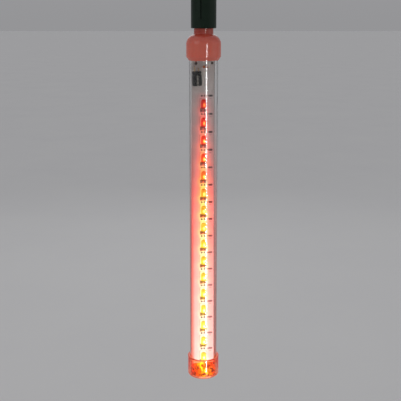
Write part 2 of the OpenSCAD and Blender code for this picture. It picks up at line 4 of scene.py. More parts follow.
import bmesh
import bpy
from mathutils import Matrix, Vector


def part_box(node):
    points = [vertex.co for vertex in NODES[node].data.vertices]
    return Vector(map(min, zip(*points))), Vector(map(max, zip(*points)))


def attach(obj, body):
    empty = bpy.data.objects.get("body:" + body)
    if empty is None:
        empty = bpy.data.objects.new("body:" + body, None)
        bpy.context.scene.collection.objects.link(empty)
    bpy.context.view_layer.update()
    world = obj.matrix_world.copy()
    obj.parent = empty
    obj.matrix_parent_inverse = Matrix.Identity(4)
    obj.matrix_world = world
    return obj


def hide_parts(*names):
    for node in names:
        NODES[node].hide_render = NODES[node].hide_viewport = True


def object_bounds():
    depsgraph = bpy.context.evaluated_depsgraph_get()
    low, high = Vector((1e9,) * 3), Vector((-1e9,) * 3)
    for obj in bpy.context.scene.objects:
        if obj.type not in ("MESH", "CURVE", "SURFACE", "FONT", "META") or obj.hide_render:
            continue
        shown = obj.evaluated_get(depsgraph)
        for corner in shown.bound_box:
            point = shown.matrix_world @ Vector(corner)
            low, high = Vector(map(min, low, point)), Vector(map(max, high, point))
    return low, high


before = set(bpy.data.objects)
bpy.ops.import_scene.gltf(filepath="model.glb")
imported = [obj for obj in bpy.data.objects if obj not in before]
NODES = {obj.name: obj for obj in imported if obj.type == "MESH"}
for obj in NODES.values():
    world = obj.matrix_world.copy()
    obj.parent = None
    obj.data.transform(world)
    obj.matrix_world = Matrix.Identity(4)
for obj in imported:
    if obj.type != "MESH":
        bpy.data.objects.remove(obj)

CAD_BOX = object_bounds()
MM = 0.001

# ---- places that the frame gives ----

BOARD_LOW, BOARD_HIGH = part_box("circuit_board")
TUBE_LOW, TUBE_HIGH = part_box("tube")
CAP_LOW, CAP_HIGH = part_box("lamp_cap")
END_LOW, END_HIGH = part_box("end_cap")
LEDS_LOW, LEDS_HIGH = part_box("front_leds")
REAR_LOW, REAR_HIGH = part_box("rear_leds")
MARKS_LOW, MARKS_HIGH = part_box("led_resistors")
CAN_LOW, CAN_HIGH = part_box("capacitor_can")
BEAD_LOW, BEAD_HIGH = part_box("glass_diode")
FUSE_LOW, FUSE_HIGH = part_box("fuse_resistor")
HOLDER_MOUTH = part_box("holder_body")[0].z

LED_COUNT = 16
LED_LENGTH = 8.6 * MM
FLANGE_HEIGHT = 1.0 * MM
LED_PITCH = (LEDS_HIGH.z - LEDS_LOW.z - LED_LENGTH) / (LED_COUNT - 1)
FIRST_FLANGE = LEDS_HIGH.z - LED_LENGTH
FIRST_MARK = (MARKS_HIGH.z + MARKS_LOW.z + (LED_COUNT - 1) * LED_PITCH) / 2
FRONT_FACE = BOARD_LOW.y
BACK_FACE = BOARD_HIGH.y
# Whole pitches, added so that the share of a pitch is always taken of a number above zero.
ABOVE_ZERO = 40 * LED_PITCH

# ---- sizes of what the frame doesn't give ----

TUBE_WALL = 1.0 * MM
CUP_FLOOR = 2 * MM
CUP_EDGE = 2 * MM
CUP_CLEARANCE = 0.05 * MM
TEETH = 12
TOOTH_HEIGHT = 3.2 * MM
HALF_GAP = 1.3 * MM
RING_IN, RING_OUT = 9.4 * MM, 11.5 * MM
LENS_RADIUS, FLANGE_RADIUS, FLANGE_FLAT = 2.5 * MM, 2.9 * MM, 2.55 * MM
DIE_HEIGHT = 3.7 * MM
LINE, INK = 0.18 * MM, 0.03 * MM
COPPER, RAIL = 0.06 * MM, 1.2 * MM
TUBE_SIDES = 160
LENS_SIDES = 40
NOISE_ROUGHNESS = 0.55
WEAVE_SCALE = 260


# ---- material building ----

class Surface:
    """A Principled material whose pattern nodes all read the piece's own coordinates, in metres."""

    def __init__(self, name, **values):
        self.mat = bpy.data.materials.new(name)
        self.mat.use_nodes = True
        self.tree = self.mat.node_tree
        self.bsdf = self.tree.nodes["Principled BSDF"]
        self.output = self.tree.nodes["Material Output"]
        self.place = self.node("ShaderNodeTexCoord").outputs["Object"]
        self.axes = self.node("ShaderNodeSeparateXYZ")
        self.link(self.place, self.axes.inputs[0])
        for socket, value in values.items():
            self.set(socket.replace("_", " "), value)

    def node(self, kind, **props):
        made = self.tree.nodes.new(kind)
        for name, value in props.items():
            setattr(made, name, value)
        return made

    def link(self, source, target):
        self.tree.links.new(source, target)

    def set(self, socket, value):
        """Gives a Principled input a plain value or another node's output."""
        target = self.bsdf.inputs[socket]
        if isinstance(value, bpy.types.NodeSocket):
            self.link(value, target)
        elif isinstance(value, tuple) and len(value) == 3 and target.type == "RGBA":
            target.default_value = (*value, 1)
        else:
            target.default_value = value

    def math(self, operation, *values, clamp=False):
        made = self.node("ShaderNodeMath", operation=operation, use_clamp=clamp)
        for socket, value in zip(made.inputs, values):
            if isinstance(value, bpy.types.NodeSocket):
                self.link(value, socket)
            else:
                socket.default_value = value
        return made.outputs[0]

    def scaled(self, stretch):
        made = self.node("ShaderNodeVectorMath", operation="MULTIPLY")
        self.link(self.place, made.inputs[0])
        made.inputs[1].default_value = stretch
        return made.outputs[0]

    def noise(self, scale, detail=3.0, stretch=(1, 1, 1)):
        made = self.node("ShaderNodeTexNoise")
        self.link(self.scaled(stretch), made.inputs["Vector"])
        made.inputs["Scale"].default_value = scale
        made.inputs["Detail"].default_value = detail
        made.inputs["Roughness"].default_value = NOISE_ROUGHNESS
        return made.outputs["Fac"]

    def spread(self, value, low, high, start=0.3, end=0.7):
        """Maps a noise's usual span to low..high."""
        made = self.node("ShaderNodeMapRange")
        self.link(value, made.inputs["Value"])
        for name, limit in (("From Min", start), ("From Max", end), ("To Min", low), ("To Max", high)):
            made.inputs[name].default_value = limit
        return made.outputs["Result"]

    def ramp(self, value, stops, mode="LINEAR"):
        """Colour ramp over value, from (place, (r, g, b)) stops."""
        made = self.node("ShaderNodeValToRGB")
        made.color_ramp.interpolation = mode
        points = made.color_ramp.elements
        while len(points) < len(stops):
            points.new(0.5)
        for point, (at, colour) in zip(points, stops):
            point.position = at
            point.color = (*colour, 1)
        self.link(value, made.inputs[0])
        return made.outputs["Color"]

    def levels(self, value, stops):
        """As ramp, for plain numbers."""
        made = self.node("ShaderNodeFloatCurve")
        curve = made.mapping.curves[0]
        top = max(level for _, level in stops)
        for at, level in stops[1:-1]:
            curve.points.new(at, level / top)
        curve.points[0].location = (stops[0][0], stops[0][1] / top)
        curve.points[-1].location = (stops[-1][0], stops[-1][1] / top)
        for point in curve.points:
            point.handle_type = "VECTOR"
        made.mapping.update()
        within = self.node("ShaderNodeClamp")
        self.link(value, within.inputs["Value"])
        self.link(within.outputs[0], made.inputs["Value"])
        return self.math("MULTIPLY", made.outputs[0], top)

    def blend(self, factor, a, b):
        """Colour a where factor is 0, b where it is 1."""
        made = self.node("ShaderNodeMix", data_type="RGBA", blend_type="MIX")
        colours = [s for s in made.inputs if s.type == "RGBA"]
        for socket, value in ((made.inputs[0], factor), (colours[0], a), (colours[1], b)):
            if isinstance(value, bpy.types.NodeSocket):
                self.link(value, socket)
            else:
                socket.default_value = (*value, 1) if isinstance(value, tuple) else value
        return [s for s in made.outputs if s.type == "RGBA"][0]

    def bump(self, height, distance):
        made = self.node("ShaderNodeBump")
        made.inputs["Distance"].default_value = distance
        self.link(height, made.inputs["Height"])
        self.link(made.outputs["Normal"], self.bsdf.inputs["Normal"])

    def off_middle(self, half_width):
        """0 in line with the diodes, 1 from half_width to either side of them on."""
        return self.math("DIVIDE", self.math("ABSOLUTE", self.axes.outputs["X"]), half_width, clamp=True)

    def depth_share(self, top, bottom):
        """0 at the level top, 1 at the level bottom."""
        return self.math("DIVIDE", self.math("SUBTRACT", top, self.axes.outputs["Z"]), top - bottom,
                         clamp=True)

    def clear_to_lamps(self):
        """Lets the studio's lamps and scattered light straight through this glass."""
        shader = self.bsdf.outputs[0]
        for ray in ("Is Diffuse Ray", "Is Shadow Ray"):
            mix = self.node("ShaderNodeMixShader")
            open_air = self.node("ShaderNodeBsdfTransparent")
            self.link(self.node("ShaderNodeLightPath").outputs[ray], mix.inputs[0])
            self.link(shader, mix.inputs[1])
            self.link(open_air.outputs[0], mix.inputs[2])
            shader = mix.outputs[0]
        self.link(shader, self.output.inputs["Surface"])


def wear(surface, base, worn, scale, share=0.5, rough=(0.3, 0.5), bump=0.00002, bump_scale=900):
    """Uneven colour and roughness with a fine surface grain, for a moulded or plated piece."""
    broad = surface.noise(scale)
    surface.set("Base Color", surface.blend(surface.spread(broad, 0, share), base, worn))
    surface.set("Roughness", surface.spread(surface.noise(scale * 3.1), *rough))
    surface.bump(surface.noise(bump_scale, detail=2), bump)


def holder_green():
    s = Surface("holder_green", IOR=1.5, Specular_IOR_Level=0.2)
    wear(s, (0.004, 0.014, 0.007), (0.009, 0.026, 0.014), 160, rough=(0.3, 0.45))
    return s.mat


def contact_brass():
    s = Surface("contact_brass", Metallic=1.0)
    tarnish = s.ramp(s.noise(420, detail=5), [(0.35, (0.86, 0.62, 0.26)), (0.62, (0.66, 0.43, 0.17)),
                                              (0.8, (0.32, 0.19, 0.08))])
    s.set("Base Color", tarnish)
    s.set("Roughness", s.spread(s.noise(700), 0.22, 0.45))
    s.bump(s.noise(1500, stretch=(1, 1, 0.15)), 0.00001)
    return s.mat


def seal_rubber():
    s = Surface("seal_rubber")
    wear(s, (0.016, 0.016, 0.017), (0.045, 0.045, 0.045), 500, rough=(0.62, 0.85), bump_scale=2200)
    return s.mat


def cap_coral():
    """Coral plastic that lets a little light in, with painted shade making it a darker, deeper red on the
    neck.
    """
    s = Surface("cap_coral", IOR=1.5, Subsurface_Weight=0.25, Subsurface_Scale=0.003)
    s.bsdf.inputs["Subsurface Radius"].default_value = (1.0, 0.25, 0.15)
    drop = s.depth_share(CAP_HIGH.z, CAP_LOW.z)
    # Painted shade: the colour darkens towards the top of the cap, over the neck.
    body = s.ramp(drop, [(0.42, (0.42, 0.045, 0.025)), (0.52, (0.52, 0.065, 0.038)),
                         (0.66, (0.76, 0.155, 0.10)), (1.0, (0.80, 0.165, 0.11))])
    cloud = s.spread(s.noise(130, detail=4), 0, 0.25)
    s.set("Base Color", s.blend(cloud, body, (0.85, 0.25, 0.18)))
    s.set("Roughness", s.spread(s.noise(300), 0.06, 0.13))
    s.bump(s.math("ADD", s.noise(240, detail=2), s.math("MULTIPLY", s.noise(2600), 0.12)), 0.00004)
    return s.mat


def base_plate():
    s = Surface("base_plate", Metallic=1.0)
    s.set("Base Color", s.ramp(s.noise(380, detail=5), [(0.4, (0.74, 0.72, 0.67)),
                                                        (0.75, (0.5, 0.46, 0.38))]))
    s.set("Roughness", s.spread(s.noise(900, stretch=(1, 1, 4)), 0.14, 0.34))
    s.bump(s.noise(2500, stretch=(0.2, 0.2, 1)), 0.000008)
    return s.mat


def base_black():
    s = Surface("base_black", IOR=1.52)
    wear(s, (0.006, 0.006, 0.007), (0.016, 0.015, 0.014), 420, rough=(0.08, 0.2), bump_scale=600)
    return s.mat


def solder(name, bright, dull):
    """Solder or tinned metal, dulled in patches."""
    s = Surface(name, Metallic=1.0)
    s.set("Base Color", s.ramp(s.noise(900, detail=4), [(0.35, bright), (0.75, dull)]))
    s.set("Roughness", s.spread(s.noise(1400), 0.18, 0.42))
    s.bump(s.noise(2400), 0.00002)
    return s.mat


def shaded_wire(name, bright, dull):
    """Lead wire darkened by painted shade, most in patches, for the dark surroundings it reflects and the
    shade round it.
    """
    s = Surface(name, Metallic=0.7, Specular_IOR_Level=0.3)
    s.set("Base Color", s.ramp(s.noise(1100, detail=4), [(0.35, bright), (0.7, dull)]))
    s.set("Roughness", s.spread(s.noise(1500), 0.3, 0.5))
    s.bump(s.noise(2600), 0.00001)
    return s.mat


def glue():
    s = Surface("glue", IOR=1.48, Subsurface_Weight=0.3, Subsurface_Scale=0.003)
    wear(s, (0.72, 0.68, 0.56), (0.84, 0.82, 0.74), 260, share=1, rough=(0.3, 0.55), bump=0.00015,
         bump_scale=260)
    return s.mat


def tube_glass():
    """Clear extruded tube with faint ripples along it, with painted light: its colour turns pink and red
    further down, most beside the board, for the diodes' light.
    """
    s = Surface("tube_glass", IOR=1.49, Transmission_Weight=1.0, Specular_Tint=(0.1, 0.1, 0.1),
                Coat_Weight=0.5, Coat_Roughness=0.09)
    drop = s.depth_share(LEDS_HIGH.z, LEDS_LOW.z)
    # Painted light: pink in front of the board and red beside it, deepening towards the bottom.
    before_board = s.ramp(drop, [(0.0, (0.97, 0.97, 0.97)), (0.3, (0.98, 0.92, 0.91)),
                                 (1.0, (1.0, 0.80, 0.78))])
    beside_board = s.ramp(drop, [(0.0, (0.97, 0.96, 0.96)), (0.2, (0.98, 0.72, 0.69)),
                                 (0.5, (1.0, 0.40, 0.35)), (1.0, (1.0, 0.30, 0.23))])
    wall = s.levels(s.off_middle(TUBE_HIGH.x), [(0.0, 0.0), (0.76, 0.0), (0.88, 1.0), (1.0, 1.0)])
    s.set("Base Color", s.blend(wall, before_board, beside_board))
    s.set("Roughness", s.spread(s.noise(90, detail=4), 0.04, 0.06, 0.45, 0.75))
    s.bump(s.noise(60, detail=1, stretch=(1, 1, 0.1)), 0.000004)
    s.clear_to_lamps()
    return s.mat


# The lamp is lit: colour and level of its light, from the top diode (0) to the bottom one (1).
LENS_COLOURS = [(0.0, (1.0, 0.012, 0.002)), (0.1, (1.0, 0.03, 0.008)), (0.21, (1.0, 0.08, 0.008)),
                (0.275, (1.0, 0.2, 0.008)), (0.34, (1.0, 0.45, 0.015)), (0.41, (1.0, 0.66, 0.03)),
                (0.6, (1.0, 0.84, 0.03)), (0.8, (1.0, 1.0, 0.08)), (1.0, (0.98, 1.0, 0.10))]
LENS_LEVELS = [(0.0, 0.42), (0.08, 0.8), (0.15, 1.05), (0.4, 1.2), (1.0, 1.5)]
DIE_COLOURS = [(0.0, (1.0, 0.28, 0.05)), (0.15, (1.0, 0.5, 0.08)), (0.3, (1.0, 0.72, 0.1)),
               (0.6, (1.0, 0.95, 0.35)), (1.0, (1.0, 1.0, 0.55))]
DIE_LEVELS = [(0.0, 1.4), (0.15, 1.7), (0.3, 1.8), (1.0, 2.0)]
EDGE_COLOURS = [(0.0, (1.0, 0.02, 0.01)), (0.34, (1.0, 0.04, 0.03)), (0.47, (1.0, 0.14, 0.12)),
                (0.6, (1.0, 0.29, 0.26)), (0.75, (1.0, 0.43, 0.40)), (1.0, (1.0, 0.64, 0.60))]
EDGE_LEVELS = [(0.0, 0.02), (0.08, 0.04), (0.15, 0.09), (0.21, 0.2), (0.275, 0.34), (0.34, 0.62),
               (0.41, 0.8), (0.6, 0.95), (1.0, 1.1)]
HALO_LEVELS = [(0.0, 2.5), (0.15, 2.5), (0.3, 1.0), (0.5, 0.25), (1.0, 0.1)]
MIDDLE_COLOURS = [(0.0, (1.0, 0.03, 0.01)), (0.15, (1.0, 0.16, 0.01)), (0.275, (1.0, 0.42, 0.01)),
                  (0.34, (1.0, 0.72, 0.03)), (0.53, (1.0, 1.0, 0.34)), (0.66, (1.0, 1.0, 0.54)),
                  (1.0, (1.0, 1.0, 0.8))]
MIDDLE_LEVELS = [(0.0, 0.3), (0.05, 0.7), (0.15, 1.05), (0.34, 1.2), (0.6, 1.2), (1.0, 1.3)]
BELOW_FLANGE_COLOURS = [(0.0, (1.0, 0.01, 0.01)), (0.2, (1.0, 0.1, 0.01)), (0.6, (1.0, 0.22, 0.02)),
                 (0.8, (1.0, 0.68, 0.07)), (1.0, (1.0, 0.65, 0.08))]
BELOW_FLANGE_LEVELS = [(0.0, 0.05), (0.1, 0.25), (0.4, 0.5), (1.0, 0.62)]
MARK_LEVELS = [(0.0, 0.0), (0.15, 0.03), (0.34, 0.3), (0.6, 0.48), (1.0, 0.55)]


def end_glass():
    """Clear cup with painted light: a red-orange colour and a faint red glow for the light the lowest
    diodes fill it with.
    """
    s = Surface("end_glass", IOR=1.49, Transmission_Weight=1.0, Emission_Color=(1.0, 0.05, 0.0),
                Emission_Strength=0.09, Specular_Tint=(0.2, 0.2, 0.2),
                Coat_Weight=0.4, Coat_Roughness=0.1)
    # Painted light: the clear cup is given a red-orange colour.
    s.set("Base Color", (1.0, 0.46, 0.26))
    s.set("Roughness", s.spread(s.noise(90, detail=4), 0.01, 0.03, 0.45, 0.75))
    s.bump(s.noise(120, detail=1, stretch=(1, 1, 2)), 0.00002)
    s.clear_to_lamps()
    return s.mat


def ring_glass():
    """Moulded ring in the cup, with painted light: its colour and patchy glow are yellow in line with the
    diodes and red towards the sides.
    """
    s = Surface("ring_glass", IOR=1.49)
    aside = s.off_middle(RING_OUT)
    # Painted light: patchy glow, and colour and glow going from yellow to red away from the diodes.
    sparkle = s.spread(s.noise(380, detail=1), 0.0, 1.6, 0.42, 0.6)
    s.set("Base Color", s.ramp(aside, [(0.0, (0.4, 0.2, 0.03)), (0.5, (0.2, 0.04, 0.01)),
                                       (1.0, (0.16, 0.02, 0.01))]))
    s.set("Emission Color", s.ramp(aside, [(0.0, (1.0, 1.0, 0.02)), (0.3, (1.0, 0.8, 0.01)),
                                           (0.55, (1.0, 0.28, 0.0)), (1.0, (1.0, 0.07, 0.01))]))
    level = s.levels(aside, [(0.0, 3.0), (0.08, 2.4), (0.15, 1.1), (0.5, 0.95), (1.0, 0.6)])
    s.set("Emission Strength", s.math("MULTIPLY", sparkle, level))
    s.set("Roughness", s.spread(s.noise(500), 0.12, 0.3))
    s.bump(s.noise(900, detail=2), 0.00003)
    return s.mat


def led_red(name, high_flange, facing):
    """Red epoxy lit by its die, which sits low in the lens. facing is 1 for a dome that points up."""
    s = Surface(name, IOR=1.5, Specular_IOR_Level=0.3)
    first = high_flange - ABOVE_ZERO * facing
    along = s.math("FRACT", s.math("MULTIPLY", s.math("SUBTRACT", s.axes.outputs["Z"], first),
                                   facing / LED_PITCH))
    height = s.math("MULTIPLY", along, LED_PITCH)
    sideways = s.math("DIVIDE", s.axes.outputs["X"], 1.5 * MM)
    upward = s.math("DIVIDE", s.math("SUBTRACT", height, DIE_HEIGHT), 2.3 * MM)
    reach = s.math("SQRT", s.math("ADD", s.math("MULTIPLY", sideways, sideways),
                                  s.math("MULTIPLY", upward, upward)))
    die = s.levels(reach, [(0.0, 1.0), (0.35, 0.8), (1.0, 0.0)])
    mottle = s.spread(s.noise(700, detail=3), 0.55, 1.25)
    # Painted shade: the glow fades almost to nothing at each lens's flange.
    rim = s.levels(s.math("DIVIDE", height, LED_LENGTH), [(0.0, 0.03), (0.07, 0.12), (0.15, 0.8),
                                                         (0.3, 1.0), (0.8, 0.85), (1.0, 0.6)])
    drop = s.depth_share(LEDS_HIGH.z, LEDS_LOW.z)
    body = s.math("MULTIPLY", s.math("MULTIPLY", rim, mottle), s.levels(drop, LENS_LEVELS))
    core = s.math("MULTIPLY", die, s.levels(drop, DIE_LEVELS))
    s.set("Base Color", s.blend(s.spread(s.noise(500), 0, 0.4), (0.20, 0.004, 0.002),
                                (0.32, 0.012, 0.004)))
    s.set("Roughness", s.spread(s.noise(600), 0.08, 0.16))
    s.set("Emission Color", s.blend(die, s.ramp(drop, LENS_COLOURS), s.ramp(drop, DIE_COLOURS)))
    s.set("Emission Strength", s.math("ADD", body, core))
    s.bump(s.noise(400, detail=1), 0.00002)
    return s.mat


def board_white():
    """White solder mask over woven laminate, which the diodes' light fills further down."""
    s = Surface("board_white", IOR=1.5, Specular_IOR_Level=0.25)
    drop = s.depth_share(LEDS_HIGH.z, LEDS_LOW.z)
    aside = s.off_middle(BOARD_HIGH.x)
    from_first = s.math("SUBTRACT", FIRST_FLANGE + ABOVE_ZERO, s.axes.outputs["Z"])
    pitch_share = s.math("FRACT", s.math("DIVIDE", from_first, LED_PITCH))
    middle = board_middle(s, aside, pitch_share)
    flange_shade = board_flange_shade(s, aside, pitch_share)
    glow = board_glow(s, aside, drop, middle)
    # Painted light between the leads in the shaded stretch, brightest in line with the diodes.
    between_leads = s.math("MULTIPLY", flange_shade, s.levels(aside, [(0.0, 2.4), (0.05, 2.2), (0.1, 0.8),
                                                               (0.3, 0.5), (1.0, 0.5)]))
    colour = s.blend(middle, s.ramp(drop, EDGE_COLOURS), s.ramp(drop, MIDDLE_COLOURS))
    mask = s.blend(s.spread(s.noise(200, detail=4), 0, 0.5), (0.50, 0.44, 0.41), (0.43, 0.375, 0.345))
    # Painted shade: the base colour goes near black in the stretch below each flange.
    s.set("Base Color", s.blend(s.math("MULTIPLY", flange_shade, 0.9), mask, (0.05, 0.01, 0.005)))
    s.set("Emission Color", s.blend(flange_shade, colour, s.ramp(drop, BELOW_FLANGE_COLOURS)))
    s.set("Emission Strength", s.math("ADD", s.math("MULTIPLY", glow, s.math("SUBTRACT", 1.0, flange_shade)),
                                      s.math("MULTIPLY", between_leads, s.levels(drop, BELOW_FLANGE_LEVELS))))
    s.set("Roughness", s.spread(s.noise(600), 0.4, 0.55))
    s.bump(board_weave(s), 0.000006)
    return s.mat


def board_middle(s, aside, pitch_share):
    """Share of the bright light in line with the diodes, widest at each diode."""
    swell = s.levels(pitch_share, [(0.0, 1.0), (0.2, 0.9), (0.5, 0.0), (0.75, 0.0), (1.0, 1.0)])
    narrowed = s.math("MULTIPLY", aside, s.math("SUBTRACT", 1.2, s.math("MULTIPLY", swell, 0.4)))
    return s.levels(narrowed, [(0.0, 1.0), (0.2, 0.9), (0.34, 0.34), (0.5, 0.12), (0.8, 0.02), (1.0, 0.0)])


def board_flange_shade(s, aside, pitch_share):
    """Painted shade: the dark stretch below each front diode's flange, where its leads go into the board.
    """
    below_flange = s.math("MULTIPLY", pitch_share, LED_PITCH)
    shade = s.levels(s.math("DIVIDE", below_flange, 5 * MM, clamp=True),
                     [(0.0, 1.0), (0.55, 1.0), (0.75, 0.2), (1.0, 0.0)])
    in_column = s.levels(aside, [(0.0, 1.0), (0.24, 1.0), (0.32, 0.0), (1.0, 0.0)])
    below_top = s.math("LESS_THAN", s.axes.outputs["Z"], LEDS_HIGH.z)
    in_front = s.math("LESS_THAN", s.axes.outputs["Y"], (FRONT_FACE + BACK_FACE) / 2)
    return s.math("MULTIPLY", s.math("MULTIPLY", in_column, shade),
                  s.math("MULTIPLY", below_top, in_front))


def board_glow(s, aside, drop, middle):
    """Level of the board's light, which fades out above the top diode."""
    halo = s.math("MULTIPLY", s.levels(aside, [(0.0, 1.0), (0.4, 1.0), (0.8, 0.15), (1.0, 0.0)]),
                  s.levels(drop, HALO_LEVELS))
    edge = s.math("MULTIPLY", s.levels(drop, EDGE_LEVELS), s.math("ADD", halo, 1.0))
    glow = s.math("ADD", s.math("MULTIPLY", middle, s.levels(drop, MIDDLE_LEVELS)),
                  s.math("MULTIPLY", s.math("SUBTRACT", 1.0, middle), edge))
    above = s.math("DIVIDE", s.math("SUBTRACT", s.axes.outputs["Z"], LEDS_HIGH.z), 6 * MM, clamp=True)
    return s.math("MULTIPLY", glow, s.math("SUBTRACT", 1.0, above))


def board_weave(s):
    """Height of the laminate's weave under the mask."""
    threads = []
    for direction in ("X", "Z"):
        wave = s.node("ShaderNodeTexWave", wave_type="BANDS", bands_direction=direction)
        wave.inputs["Scale"].default_value = WEAVE_SCALE
        s.link(s.place, wave.inputs["Vector"])
        threads.append(wave.outputs["Fac"])
    return s.math("ADD", *threads)


def resistor_black():
    s = Surface("resistor_black", IOR=1.5)
    wear(s, (0.010, 0.010, 0.011), (0.030, 0.029, 0.028), 900, rough=(0.4, 0.62), bump=0.00001,
         bump_scale=3500)
    return s.mat


def resistor_lit():
    """Black chip resistor that the diodes beside it light further down."""
    s = Surface("resistor_lit", IOR=1.5)
    wear(s, (0.010, 0.008, 0.007), (0.028, 0.022, 0.020), 900, rough=(0.4, 0.62), bump=0.00001,
         bump_scale=3500)
    drop = s.depth_share(LEDS_HIGH.z, LEDS_LOW.z)
    s.set("Emission Color", s.ramp(drop, EDGE_COLOURS))
    s.set("Emission Strength", s.math("MULTIPLY", s.spread(s.noise(900), 0.7, 1.2),
                                      s.levels(drop, MARK_LEVELS)))
    return s.mat


def sleeve_black():
    """Shrunk black sleeve with a grey stripe down its front, which short black dashes mark."""
    s = Surface("sleeve_black", IOR=1.5, Specular_IOR_Level=0.15)
    centre = (CAN_LOW + CAN_HIGH) / 2
    stripe_x, half_stripe, stripe_top = -0.1 * MM, 0.65 * MM, 3.0 * MM
    dash_pitch, half_dash, dash_share = 3.1 * MM, 0.4 * MM, 0.11
    across = s.math("SUBTRACT", s.axes.outputs["X"], centre.x)
    height = s.math("SUBTRACT", s.axes.outputs["Z"], centre.z)
    lean = math.tan(math.radians(3))
    square = s.math("ADD", across, s.math("MULTIPLY", height, lean))
    off = s.math("ABSOLUTE", s.math("SUBTRACT", square, stripe_x))
    in_width = s.math("LESS_THAN", off, half_stripe)
    in_front = s.math("LESS_THAN", s.axes.outputs["Y"], centre.y)
    in_height = s.math("LESS_THAN", height, stripe_top)
    stripe = s.math("MULTIPLY", s.math("MULTIPLY", in_width, in_front), in_height)
    along_dash = s.math("SUBTRACT", s.math("FRACT", s.math("MULTIPLY", height, 1 / dash_pitch)), 0.5)
    dash = s.math("LESS_THAN", s.math("ABSOLUTE", along_dash), dash_share)
    dash = s.math("MULTIPLY", dash, s.math("LESS_THAN", off, half_dash))
    print_share = s.math("SUBTRACT", stripe, s.math("MULTIPLY", dash, stripe))
    s.set("Base Color", s.blend(print_share, (0.006, 0.005, 0.005), (0.20, 0.185, 0.155)))
    s.set("Roughness", s.spread(s.noise(420), 0.3, 0.45))
    s.bump(s.noise(220, detail=2, stretch=(1, 1, 0.4)), 0.000012)
    return s.mat


def bung_rubber():
    s = Surface("bung_rubber")
    wear(s, (0.03, 0.027, 0.024), (0.06, 0.055, 0.05), 800, rough=(0.6, 0.8), bump_scale=2600)
    return s.mat


def diode_glass():
    """Orange glass bead with the black band of its cathode."""
    s = Surface("diode_glass", IOR=1.5, Transmission_Weight=0.45, Coat_Weight=0.5)
    band_x, half_band, half_core = 1.15 * MM, 0.32 * MM, 0.5 * MM
    centre = (BEAD_LOW + BEAD_HIGH) / 2
    along = s.math("SUBTRACT", s.axes.outputs["X"], centre.x)
    band = s.math("LESS_THAN", s.math("ABSOLUTE", s.math("SUBTRACT", along, band_x)), half_band)
    core = s.math("LESS_THAN", s.math("ABSOLUTE", along), half_core)
    glass = s.blend(s.spread(s.noise(800), 0, 0.4), (0.75, 0.16, 0.05), (0.85, 0.30, 0.10))
    body = s.blend(core, glass, (0.45, 0.30, 0.22))
    s.set("Base Color", s.blend(band, body, (0.01, 0.01, 0.01)))
    s.set("Roughness", s.spread(s.noise(900), 0.04, 0.12))
    s.bump(s.noise(700, detail=1), 0.00001)
    return s.mat


def film_brown():
    s = Surface("film_brown", IOR=1.55, Coat_Weight=0.4)
    wear(s, (0.30, 0.055, 0.025), (0.42, 0.10, 0.045), 240, rough=(0.12, 0.26), bump=0.00012,
         bump_scale=260)
    return s.mat


def fuse_blue():
    """Blue-green cement body with four colour bands round it."""
    s = Surface("fuse_blue", IOR=1.5)
    length = FUSE_HIGH.x - FUSE_LOW.x
    along = s.math("DIVIDE", s.math("SUBTRACT", s.axes.outputs["X"], FUSE_LOW.x), length)
    body = (0.16, 0.33, 0.30)
    bands = s.ramp(along, [(0.0, body), (0.2, (0.02, 0.02, 0.02)), (0.26, body), (0.36, (0.5, 0.2, 0.02)),
                           (0.42, body), (0.52, (0.32, 0.02, 0.02)), (0.58, body),
                           (0.78, (0.45, 0.30, 0.06)), (0.84, body)], "CONSTANT")
    s.set("Base Color", s.blend(s.spread(s.noise(700), 0, 0.25), bands, (0.3, 0.4, 0.38)))
    s.set("Roughness", s.spread(s.noise(900), 0.3, 0.48))
    s.bump(s.noise(1200), 0.00003)
    return s.mat


def wire_skin(name, colour, faded):
    s = Surface(name, IOR=1.45)
    wear(s, colour, faded, 300, rough=(0.34, 0.5), bump_scale=1500)
    return s.mat


def print_grey():
    s = Surface("print_grey")
    wear(s, (0.05, 0.035, 0.03), (0.12, 0.09, 0.08), 1500, share=1, rough=(0.5, 0.7), bump_scale=4000)
    return s.mat


# ---- mesh building ----

def new_piece(name, bm, material, smooth=True):
    mesh = bpy.data.meshes.new(name)
    bmesh.ops.recalc_face_normals(bm, faces=bm.faces)
    bm.to_mesh(mesh)
    bm.free()
    mesh.materials.append(material)
    if smooth:
        mesh.shade_smooth()
        mesh.set_sharp_from_angle(angle=math.radians(35))
    piece = bpy.data.objects.new(name, mesh)
    bpy.context.scene.collection.objects.link(piece)
    return piece


def spin(bm, profile, sides, centre=(0, 0), poles=False, squeeze=None):
    """Adds a solid of revolution about a line along Z, from (radius, height) corners in order.

    With poles, the profile starts and ends on the line. squeeze moves a corner of a ring in.
    """
    def corner(r, z, a):
        x, y = r * math.cos(a), r * math.sin(a)
        if squeeze:
            x, y = squeeze(x, y, z)
        return bm.verts.new((centre[0] + x, centre[1] + y, z))

    angles = [2 * math.pi * i / sides for i in range(sides)]
    rings = [[corner(r, z, 0)] if poles and r == 0 else [corner(r, z, a) for a in angles]
             for r, z in profile]
    for ring, following in zip(rings, rings[1:] + ([] if poles else rings[:1])):
        for i in range(sides):
            j = (i + 1) % sides
            if len(ring) == 1:
                bm.faces.new((ring[0], following[j], following[i]))
            elif len(following) == 1:
                bm.faces.new((ring[i], ring[j], following[0]))
            else:
                bm.faces.new((ring[i], ring[j], following[j], following[i]))


def lathe(name, profile, material, poles=False):
    bm = bmesh.new()
    spin(bm, profile, TUBE_SIDES, poles=poles)
    return new_piece(name, bm, material)


def round_corner(corner, before, after, radius, steps=5):
    """Points that round a profile's corner between its two neighbours."""
    corner, before, after = Vector(corner), Vector(before), Vector(after)
    start = corner + (before - corner).normalized() * radius
    end = corner + (after - corner).normalized() * radius
    shares = [i / steps for i in range(steps + 1)]
    return [tuple(start * (1 - t) ** 2 + corner * 2 * t * (1 - t) + end * t ** 2) for t in shares]


